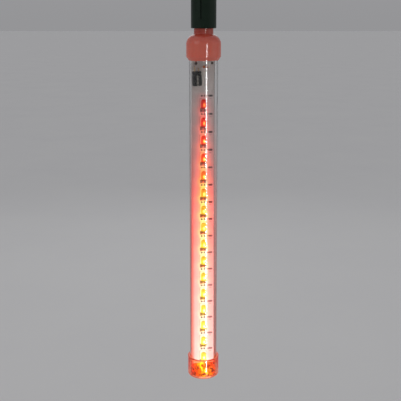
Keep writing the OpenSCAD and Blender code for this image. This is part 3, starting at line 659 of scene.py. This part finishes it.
def rounded(profile, radius):
    """A closed profile with every corner rounded."""
    count = len(profile)
    return [p for i in range(count) for p in
            round_corner(profile[i], profile[i - 1], profile[(i + 1) % count], radius)]


def slab(bm, low, high):
    """Adds a closed box between two corners."""
    corners = [bm.verts.new((x, y, z)) for x in (low[0], high[0]) for y in (low[1], high[1])
               for z in (low[2], high[2])]
    for face in ((0, 1, 3, 2), (4, 6, 7, 5), (0, 4, 5, 1), (2, 3, 7, 6), (0, 2, 6, 4), (1, 5, 7, 3)):
        bm.faces.new([corners[i] for i in face])


def flat_frame(bm, x0, x1, z0, z1, face, out, width, height):
    """Adds a thin rectangular outline that lies on one face of the board."""
    y0, y1 = sorted((face, face + out * height))
    slab(bm, (x0, y0, z0), (x1, y1, z0 + width))
    slab(bm, (x0, y0, z1 - width), (x1, y1, z1))
    slab(bm, (x0, y0, z0 + width), (x0 + width, y1, z1 - width))
    slab(bm, (x1 - width, y0, z0 + width), (x1, y1, z1 - width))


def tube_shell(material):
    outer = TUBE_HIGH.x
    inner = outer - TUBE_WALL
    edge_radius = 0.25 * MM
    profile = [(outer, TUBE_LOW.z), (outer, TUBE_HIGH.z), (inner, TUBE_HIGH.z), (inner, TUBE_LOW.z)]
    piece = lathe("tube_shell", rounded(profile, edge_radius), material)
    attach(piece, "lamp")
    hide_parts("tube")


def end_cup(glass, ring_material):
    """Clear cup, and the toothed ring on its floor that the board stands on."""
    outer, inner = END_HIGH.x, TUBE_HIGH.x + CUP_CLEARANCE
    bottom, top = END_LOW.z, END_HIGH.z
    floor = bottom + CUP_FLOOR
    profile = ([(0, bottom)] + round_corner((outer, bottom), (0, bottom), (outer, top), CUP_EDGE, 8)
               + round_corner((outer, top), (outer, bottom), (inner, top), 0.6 * MM)
               + round_corner((inner, top), (outer, top), (inner, floor), 0.3 * MM)
               + round_corner((inner, floor), (inner, top), (0, floor), 0.5 * MM) + [(0, floor)])
    cup = lathe("end_cup", profile, glass, poles=True)
    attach(cup, "lamp")
    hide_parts("end_cap")
    above_floor, under_board = 0.02 * MM, 0.03 * MM
    ring = end_ring(floor + above_floor, BOARD_LOW.z - under_board, ring_material)
    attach(ring, "lamp")


def ring_columns():
    """Inner angle, outer angle and whether a gap starts there, for each upright line of the ring."""
    half_in, half_out = math.asin(HALF_GAP / RING_IN), math.asin(HALF_GAP / RING_OUT)
    span = 2 * math.pi / TEETH
    tooth_steps = 6
    columns = []
    for tooth in range(TEETH):
        middle = 2 * math.pi * (tooth + 0.5) / TEETH
        for share in (-1, -0.5, 0, 0.5):
            columns.append((middle + share * half_in, middle + share * half_out, True))
        for i in range(tooth_steps):
            t = i / tooth_steps
            columns.append((middle + half_in + t * (span - 2 * half_in),
                            middle + half_out + t * (span - 2 * half_out), False))
    return columns


def end_ring(low, high, material):
    """Toothed ring with a dished plate across its foot."""
    bm = bmesh.new()
    columns = ring_columns()

    def wall(j, z):
        a_in, a_out, _ = columns[j % len(columns)]
        return ((RING_IN * math.cos(a_in), RING_IN * math.sin(a_in), z),
                (RING_OUT * math.cos(a_out), RING_OUT * math.sin(a_out), z))

    def quad(*points):
        bm.faces.new([bm.verts.new(p) for p in points])

    ledge = high - TOOTH_HEIGHT
    for j, (_, _, in_gap) in enumerate(columns):
        levels = [low, ledge] if in_gap else [low, ledge, high]
        for z0, z1 in zip(levels, levels[1:]):
            (a, b), (c, d) = wall(j, z0), wall(j + 1, z0)
            (e, f), (g, h) = wall(j, z1), wall(j + 1, z1)
            quad(a, c, g, e)
            quad(b, d, h, f)
        for z in (low, levels[-1]):
            (a, b), (c, d) = wall(j, z), wall(j + 1, z)
            quad(a, c, d, b)
        if columns[j - 1][2] != in_gap:
            (a, b), (c, d) = wall(j, ledge), wall(j, high)
            quad(a, b, d, c)
    bmesh.ops.remove_doubles(bm, verts=bm.verts, dist=0.001 * MM)
    plate_radius, plate_top, plate_sides = RING_IN - 0.3 * MM, low + 0.3 * MM, 96
    spin(bm, [(0, low), (plate_radius, low), (plate_radius - 0.2 * MM, plate_top), (2.4 * MM, plate_top),
              (1.8 * MM, low + 0.9 * MM), (0, low + 1.1 * MM)], plate_sides, poles=True)
    bmesh.ops.recalc_face_normals(bm, faces=bm.faces)
    sharp = [edge for edge in bm.edges if edge.is_manifold and edge.calc_face_angle(0) > math.radians(50)]
    bmesh.ops.bevel(bm, geom=sharp, offset=0.14 * MM, segments=2, affect="EDGES")
    return new_piece("end_ring", bm, material)


def lens_row(name, node, axis_y, first_z, facing, material):
    """One row of diode lenses, each a flanged body with a dome and the flat that marks its cathode."""
    flange, foot_edge, top_edge = FLANGE_RADIUS, 0.15 * MM, 0.1 * MM
    outline = [(0, 0), (flange - foot_edge, 0), (flange, foot_edge), (flange, FLANGE_HEIGHT - top_edge),
               (flange - top_edge, FLANGE_HEIGHT), (LENS_RADIUS, FLANGE_HEIGHT)]
    dome = [(LENS_RADIUS * math.cos(a), LED_LENGTH - LENS_RADIUS + LENS_RADIUS * math.sin(a))
            for a in (math.radians(6 * i) for i in range(15))]
    outline += dome + [(0, LED_LENGTH)]
    bm = bmesh.new()
    for k in range(LED_COUNT):
        base = first_z - k * LED_PITCH
        profile = [(r, base + facing * z) for r, z in outline]

        def flatten(x, y, z):
            return (max(x, -FLANGE_FLAT), y) if abs(z - base) < FLANGE_HEIGHT + 0.01 * MM else (x, y)

        spin(bm, profile, LENS_SIDES, centre=(0, axis_y), poles=True, squeeze=flatten)
    piece = new_piece(name, bm, material)
    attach(piece, "lamp")
    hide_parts(node)


def ink_bar(bm, x0, x1, z0, z1):
    """Adds a printed bar to the board's front."""
    slab(bm, (x0, FRONT_FACE - INK, z0), (x1, FRONT_FACE, z1))


def board_print(material):
    """Printed outlines round the parts, bars beside each chip resistor, and a line down one edge."""
    bm = bmesh.new()
    half_led, half_part_x, half_part_z = 3.2 * MM, 1.45 * MM, 0.95 * MM
    half_bar, bar_start, bar_gap, led_gap = 0.3 * MM, 3.6 * MM, 0.15 * MM, 0.3 * MM
    part_x = (MARKS_LOW.x + MARKS_HIGH.x) / 2
    for k in range(LED_COUNT):
        mark_z = FIRST_MARK - k * LED_PITCH
        flange_z = FIRST_FLANGE - k * LED_PITCH
        flat_frame(bm, -half_led, half_led, flange_z - led_gap, flange_z + LED_LENGTH + led_gap,
                   FRONT_FACE, -1, LINE, INK)
        flat_frame(bm, part_x - half_part_x, part_x + half_part_x, mark_z - half_part_z,
                   mark_z + half_part_z, FRONT_FACE, -1, LINE, INK)
        ink_bar(bm, bar_start, part_x - half_part_x - bar_gap, mark_z - half_bar, mark_z + half_bar)
        ink_bar(bm, part_x + half_part_x + bar_gap, BOARD_HIGH.x - 0.8 * MM, mark_z - half_bar,
                mark_z + half_bar)
        ink_bar(bm, part_x - 1.0 * MM, part_x + 0.9 * MM, mark_z - 2.7 * MM, mark_z - 2.4 * MM)
        flat_frame(bm, -half_led, half_led, mark_z - 1.3 * MM - LED_LENGTH, mark_z - 0.7 * MM,
                   BACK_FACE, 1, LINE, INK)
    ink_bar(bm, BOARD_HIGH.x - 0.5 * MM, BOARD_HIGH.x - 0.1 * MM, BOARD_LOW.z + 2 * MM,
            BOARD_HIGH.z - 2 * MM)
    piece = new_piece("board_print", bm, material, smooth=False)
    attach(piece, "lamp")


def board_copper(material):
    """Copper runs that stand up a little under the mask: two rails and a branch to each part."""
    bm = bmesh.new()
    edge = BOARD_HIGH.x - 0.6 * MM
    low, high = BOARD_LOW.z + 1.5 * MM, BOARD_HIGH.z - 2 * MM
    branch_end, half_branch = -2.4 * MM, 0.3 * MM
    for face, out in ((FRONT_FACE, -1), (BACK_FACE, 1)):
        y0, y1 = sorted((face, face + out * COPPER))
        for side in (-1, 1):
            x0, x1 = sorted((side * edge, side * (edge - RAIL)))
            slab(bm, (x0, y0, low), (x1, y1, high))
        for k in range(LED_COUNT):
            mark_z = FIRST_MARK - k * LED_PITCH
            slab(bm, (-edge + RAIL, y0, mark_z - half_branch), (branch_end, y1, mark_z + half_branch))
    piece = new_piece("board_copper", bm, material, smooth=False)
    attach(piece, "lamp")


# ---- studio ----

CAMERA_TURN = math.radians(-11)
CAMERA_TILT = math.radians(14)
CAMERA_DISTANCE = 0.6345
CAMERA_ABOVE_MOUTH = 0.0049
CAMERA_ASIDE = -0.0027
LENS_MM = 64.1
SENSOR_MM = 36
STRIP_TURN = CAMERA_TURN + math.radians(22)
STRIP_DISTANCE = 0.5
STRIP_BELOW_MIDDLE = 0.14
STRIP_SIZE = (0.045, 0.62)
# Power of each strip, and the pieces whose shine it draws.
STRIPS = ((7.0, ("tube_shell", "end_cup")), (1.6, ("lamp_cap",)))
# Name, turn from the camera in degrees, distance, height, side and power of each soft panel.
PANELS = (("key", -50, 1.3, 0.5, 0.8, 1.5), ("fill", 75, 1.5, 0.3, 1.0, 0.8),
          ("back", 185, 1.4, 0.5, 0.9, 1.5))
FLOOR_DROP = 0.25
FLOOR_RADIUS = 60


def camera():
    data = bpy.data.cameras.new("camera")
    data.lens = LENS_MM
    data.sensor_width = SENSOR_MM
    data.clip_start, data.clip_end = 0.01, 50
    cam = bpy.data.objects.new("camera", data)
    right = Vector((math.cos(CAMERA_TURN), math.sin(CAMERA_TURN), 0))
    back = Vector((math.sin(CAMERA_TURN), -math.cos(CAMERA_TURN), 0))
    cam.location = back * CAMERA_DISTANCE + right * CAMERA_ASIDE
    cam.location.z = HOLDER_MOUTH + CAMERA_ABOVE_MOUTH
    look = -back * math.cos(CAMERA_TILT) - Vector((0, 0, math.sin(CAMERA_TILT)))
    cam.rotation_mode = "QUATERNION"
    cam.rotation_quaternion = look.to_track_quat("-Z", "Y")
    bpy.context.scene.collection.objects.link(cam)
    bpy.context.scene.camera = cam


def area_light(name, turn, distance, height, size, power, aim_height):
    """Panel round the lamp. turn is its direction as seen from above, as the camera's is."""
    data = bpy.data.lights.new(name, "AREA")
    data.shape = "RECTANGLE"
    data.size, data.size_y = size
    data.energy = power
    lamp = bpy.data.objects.new(name, data)
    lamp.location = (distance * math.sin(turn), -distance * math.cos(turn), height)
    aim = Vector((0, 0, aim_height)) - lamp.location
    lamp.rotation_mode = "QUATERNION"
    lamp.rotation_quaternion = aim.to_track_quat("-Z", "Y")
    lamp.visible_camera = False
    bpy.context.scene.collection.objects.link(lamp)
    return lamp


def world_light():
    """Soft light from all round, a little stronger from above than along the horizon."""
    world = bpy.data.worlds.new("studio")
    world.use_nodes = True
    tree = world.node_tree
    background = tree.nodes["Background"]
    coords = tree.nodes.new("ShaderNodeTexCoord")
    axes = tree.nodes.new("ShaderNodeSeparateXYZ")
    ramp = tree.nodes.new("ShaderNodeValToRGB")
    ramp.color_ramp.elements[0].color = (0.30, 0.30, 0.31, 1)
    ramp.color_ramp.elements[1].color = (0.52, 0.52, 0.54, 1)
    tree.links.new(coords.outputs["Generated"], axes.inputs[0])
    tree.links.new(axes.outputs["Z"], ramp.inputs[0])
    tree.links.new(ramp.outputs["Color"], background.inputs["Color"])
    background.inputs["Strength"].default_value = 1.0
    bpy.context.scene.world = world


def studio_floor():
    bm = bmesh.new()
    bmesh.ops.create_circle(bm, cap_ends=True, segments=96, radius=FLOOR_RADIUS)
    s = Surface("studio_floor")
    wear(s, (0.74, 0.74, 0.73), (0.70, 0.70, 0.70), 3, rough=(0.7, 0.9), bump=0.0001, bump_scale=200)
    floor = new_piece("studio_floor", bm, s.mat, smooth=False)
    floor.location.z = CAD_BOX[0].z - FLOOR_DROP


def plain_display():
    """Plain display colours, which keep the saturated red and yellow of the lit diodes."""
    bpy.context.scene.view_settings.view_transform = "Standard"


def strip_lights(middle):
    """Narrow uprights that only draw the thin white line down the lamp's shiny pieces."""
    height = middle - STRIP_BELOW_MIDDLE
    for number, (power, names) in enumerate(STRIPS):
        strip = area_light(f"strip_{number}", STRIP_TURN, STRIP_DISTANCE, height, STRIP_SIZE, power, height)
        strip.visible_diffuse = False
        strip.visible_transmission = False
        glossy = bpy.data.collections.new(f"strip_{number}_shines_on")
        for name in names:
            glossy.objects.link(bpy.data.objects[name])
        strip.light_linking.receiver_collection = glossy


def studio():
    middle = (CAD_BOX[0].z + CAD_BOX[1].z) / 2
    world_light()
    studio_floor()
    strip_lights(middle)
    for name, turn, distance, height, side, power in PANELS:
        area_light(name, CAMERA_TURN + math.radians(turn), distance, height, (side, side), power, middle)


# ---- the lamp ----

def dress(material, *names):
    """Gives CAD nodes a finished material."""
    for name in names:
        for slot in NODES[name].material_slots:
            slot.material = material


def finishes():
    dress(holder_green(), "holder_body", "cord_cover")
    dress(contact_brass(), "holder_screw_shell", "centre_contact_leaf", "centre_piercing_pin",
          "shell_piercing_pin")
    dress(seal_rubber(), "neck_seal")
    dress(cap_coral(), "lamp_cap")
    dress(base_plate(), "base_shell")
    dress(base_black(), "base_insulator")
    dress(solder("solder", (0.80, 0.80, 0.80), (0.52, 0.52, 0.54)), "tip_contact", "rectifier_leads",
          "chip_leads")
    # Painted shade: the diodes' and resistors' joints and the wire's joint get near-black solder, for the
    # dark they reflect and the shade round them.
    dress(solder("solder_shaded", (0.14, 0.09, 0.075), (0.05, 0.032, 0.025)), "front_solder", "rear_solder",
          "resistor_ends", "wire_solder")
    # Painted shade: the diodes' leads are near-black, and the other leads darken in patches, for the dark
    # they reflect.
    dress(shaded_wire("shaded_wire", (0.08, 0.045, 0.03), (0.03, 0.016, 0.01)), "front_led_leads",
          "rear_led_leads")
    dress(shaded_wire("wire_gilt", (0.62, 0.42, 0.20), (0.12, 0.07, 0.035)), "capacitor_leads",
          "diode_leads", "film_capacitor_leads", "fuse_leads")
    dress(glue(), "tube_glue_ring", "board_glue")
    dress(board_white(), "circuit_board")
    dress(resistor_lit(), "led_resistors")
    dress(resistor_black(), "bridge_rectifier", "controller_chip")
    dress(sleeve_black(), "capacitor_can")
    dress(bung_rubber(), "capacitor_bung")
    dress(diode_glass(), "glass_diode")
    dress(film_brown(), "film_capacitor")
    dress(fuse_blue(), "fuse_resistor")
    dress(wire_skin("wire_red", (0.42, 0.02, 0.015), (0.5, 0.06, 0.04)), "live_wire")
    dress(wire_skin("wire_white", (0.82, 0.80, 0.75), (0.7, 0.68, 0.63)), "neutral_wire")


camera()
finishes()
tube_shell(tube_glass())
end_cup(end_glass(), ring_glass())
lens_row("front_lenses", "front_leds", (LEDS_LOW.y + LEDS_HIGH.y) / 2, FIRST_FLANGE, 1,
         led_red("led_front", FIRST_FLANGE, 1))
lens_row("rear_lenses", "rear_leds", (REAR_LOW.y + REAR_HIGH.y) / 2, REAR_HIGH.z, -1,
         led_red("led_rear", REAR_HIGH.z, -1))
board_print(print_grey())
board_copper(NODES["circuit_board"].material_slots[0].material)
studio()
plain_display()
